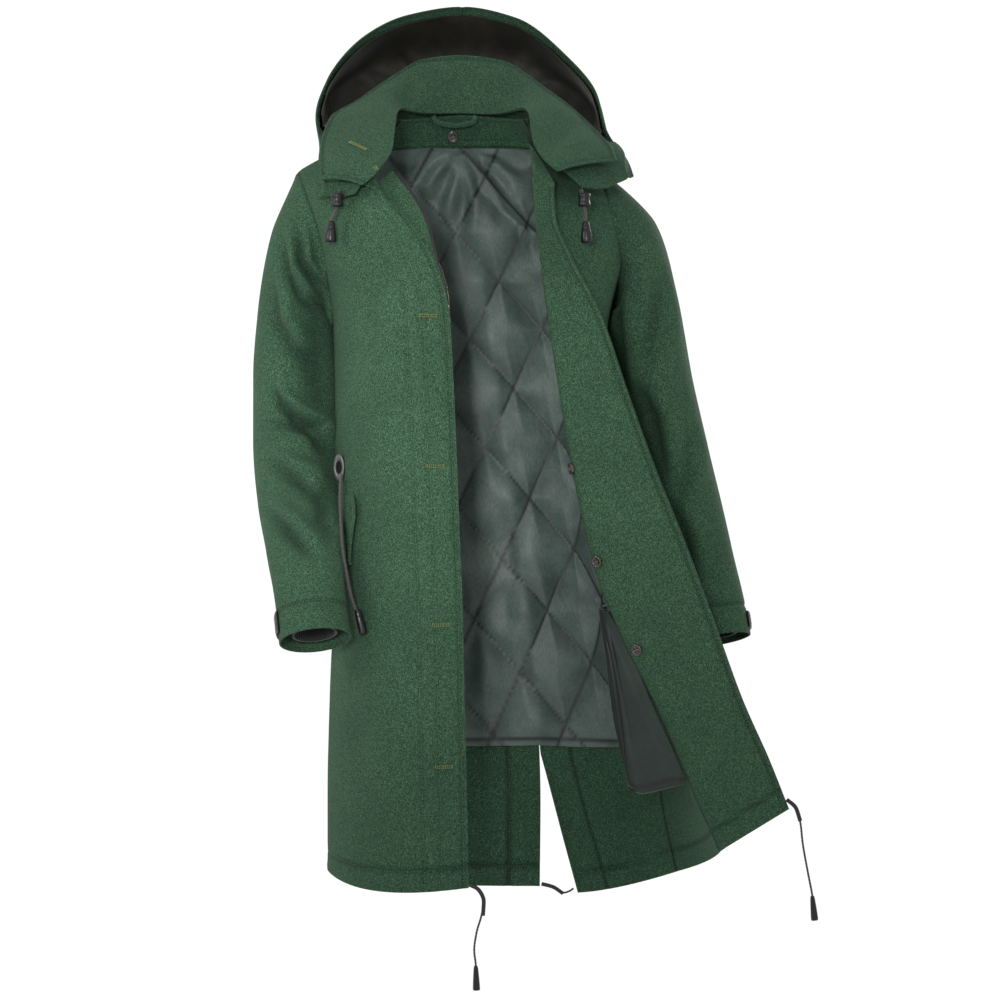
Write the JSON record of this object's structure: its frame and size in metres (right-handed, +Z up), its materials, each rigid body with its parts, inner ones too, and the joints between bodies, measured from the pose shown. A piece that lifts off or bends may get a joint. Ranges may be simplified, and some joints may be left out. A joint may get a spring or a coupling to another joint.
{
  "type": "hooded wool parka",
  "caption": "Green wool parka with hood down, spread collar, quilted liner and open front, hollow as worn.",
  "frame": {"origin": "middle of the shoulders at the base of the neck, where the wearer carries it", "axes": "+Z up, -Y to the front of the coat, -X to the wearer's right side"},
  "size_m": [0.7221, 0.449, 1.2883],
  "materials": {
    "wool": "felted wool melange",
    "quilt": "quilted satin",
    "satin": "smooth satin lining",
    "rib": "rib knit",
    "leather": "smooth black leather",
    "toggle": "gloss black",
    "cord": "braided cord",
    "button": "polished",
    "eyelet": "matte grey",
    "zip": "copper tone metal"
  },
  "bodies": {
    "root": {"back_left": "wool", "back_right": "wool", "button_facing_1": "button", "button_facing_2": "button", "button_facing_3": "button", "button_neck": "button", "collar": "wool", "cuff_tab_left": "leather", "cuff_tab_right": "leather", "eyelet_right": "eyelet", "facing_left": "wool", "fly_facing_right": "wool", "front_left": "wool", "front_right": "wool", "hanger_loop": "wool", "hem_cord_end_left": "toggle", "hem_cord_end_right": "toggle", "hem_cord_left": "cord", "hem_cord_right": "cord", "hem_strap_left": "leather", "hem_strap_right": "leather", "hood_cord_end_left": "toggle", "hood_cord_end_right": "toggle", "hood_cord_left": "cord", "hood_cord_right": "cord", "hood_left": "wool", "hood_lining": "satin", "hood_right": "wool", "hood_stopper_left": "toggle", "hood_stopper_right": "toggle", "liner_back": "quilt", "liner_front_left": "quilt", "neck_facing": "wool", "pocket_flap_left": "wool", "pocket_flap_right": "wool", "rib_cuff_left": "rib", "rib_cuff_right": "rib", "sleeve_left": "wool", "sleeve_right": "wool", "vent_cord": "cord", "vent_strap": "leather", "waist_cord": "cord", "waist_cord_end": "toggle", "zip_right": "zip"}
  },
  "joints": []
}
